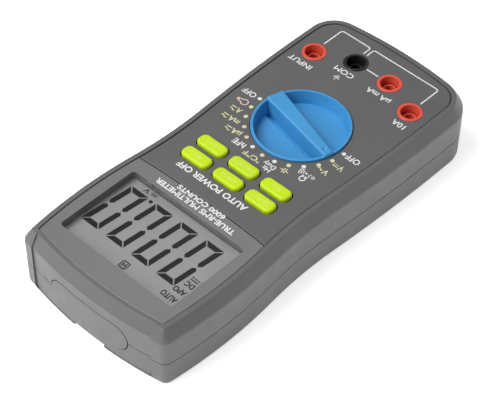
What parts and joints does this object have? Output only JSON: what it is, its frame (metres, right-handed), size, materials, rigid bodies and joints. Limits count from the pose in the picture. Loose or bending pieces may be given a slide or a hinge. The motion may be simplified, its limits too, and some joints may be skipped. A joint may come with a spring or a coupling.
{
  "type": "handheld digital multimeter",
  "caption": "Waisted handheld digital multimeter with a large display, push buttons, a cup-shaped rotary range switch, shrouded input sockets and a fold-out rear stand.",
  "frame": {"origin": "centre of the meter's footprint, on the surface its rubber feet rest on while it lies on its back", "axes": "+X to the user's right, +Y from the input sockets to the display, +Z out of the front panel"},
  "size_m": [0.0848, 0.1905, 0.032],
  "materials": {
    "case_grey": "fine moulded texture, satin",
    "panel_grey": "fine moulded texture, satin",
    "lens_clear": "polished clear plastic with a printed grey border",
    "lcd_film": "reflective grey film under glass",
    "inner_white": "satin moulded",
    "silicone_grey": "matte silicone",
    "board_green": "solder mask",
    "spring_steel": "plated spring steel",
    "socket_red": "smooth moulded",
    "socket_black": "smooth moulded",
    "contact_brass": "machined",
    "fuse_ceramic": "glazed ceramic",
    "plated_cap": "nickel plated",
    "cell_wrap": "plain printed sleeve over steel",
    "screw_steel": "zinc plated",
    "foot_rubber": "matte",
    "chip_black": "moulded epoxy",
    "shunt_wire": "drawn alloy wire",
    "knob_blue": "satin moulded",
    "button_lime": "satin moulded"
  },
  "bodies": {
    "case": {"front_case": "case_grey", "rear_case": "case_grey", "front_panel": "panel_grey", "display_lens": "lens_clear", "lcd_glass": "lcd_film", "lcd_holder": "inner_white", "zebra_strips": "silicone_grey", "circuit_board": "board_green", "detent_springs": "spring_steel", "keypad": "silicone_grey", "socket_10a": "socket_red", "socket_ma": "socket_red", "socket_com": "socket_black", "socket_volt": "socket_red", "contact_sleeves": "contact_brass", "fuse_10a": "fuse_ceramic", "fuse_ma": "fuse_ceramic", "fuse_caps": "plated_cap", "fuse_clips": "contact_brass", "battery_cells": "cell_wrap", "battery_contacts": "spring_steel", "battery_cover": "case_grey", "battery_cover_screw": "screw_steel", "case_screws": "screw_steel", "board_screws": "screw_steel", "stand_hinge_rod": "screw_steel", "rubber_feet": "foot_rubber", "end_plug": "case_grey", "buzzer": "chip_black", "meter_chips": "chip_black", "current_shunt": "shunt_wire"},
    "knob": {"range_knob": "knob_blue", "knob_hub": "inner_white", "wiper_contacts": "contact_brass"},
    "select_button": {"select_button": "button_lime"},
    "range_button": {"range_button": "button_lime"},
    "hold_button": {"hold_button": "button_lime"},
    "relative_button": {"relative_button": "button_lime"},
    "max_min_button": {"max_min_button": "button_lime"},
    "light_button": {"light_button": "button_lime"},
    "stand": {"tilt_stand": "case_grey"}
  },
  "joints": [
    {"name": "range_switch", "type": "hinge", "parent": "case", "child": "knob", "pos_m": [0, -0.0277, 0.0302], "axis": [0, 0, 1], "range_deg": [-165, 15]},
    {"name": "select_button_press", "type": "slide", "parent": "case", "child": "select_button", "axis": [0, 0, -1], "range_m": [0, 0.001], "stiffness_N_per_m": 1000},
    {"name": "range_button_press", "type": "slide", "parent": "case", "child": "range_button", "axis": [0, 0, -1], "range_m": [0, 0.001], "stiffness_N_per_m": 1000},
    {"name": "hold_button_press", "type": "slide", "parent": "case", "child": "hold_button", "axis": [0, 0, -1], "range_m": [0, 0.001], "stiffness_N_per_m": 1000},
    {"name": "relative_button_press", "type": "slide", "parent": "case", "child": "relative_button", "axis": [0, 0, -1], "range_m": [0, 0.001], "stiffness_N_per_m": 1000},
    {"name": "max_min_button_press", "type": "slide", "parent": "case", "child": "max_min_button", "axis": [0, 0, -1], "range_m": [0, 0.001], "stiffness_N_per_m": 1000},
    {"name": "light_button_press", "type": "slide", "parent": "case", "child": "light_button", "axis": [0, 0, -1], "range_m": [0, 0.001], "stiffness_N_per_m": 1000},
    {"name": "stand_hinge", "type": "hinge", "parent": "case", "child": "stand", "pos_m": [0, 0.018, 0.0033], "axis": [-1, 0, 0], "range_deg": [0, 60]}
  ]
}
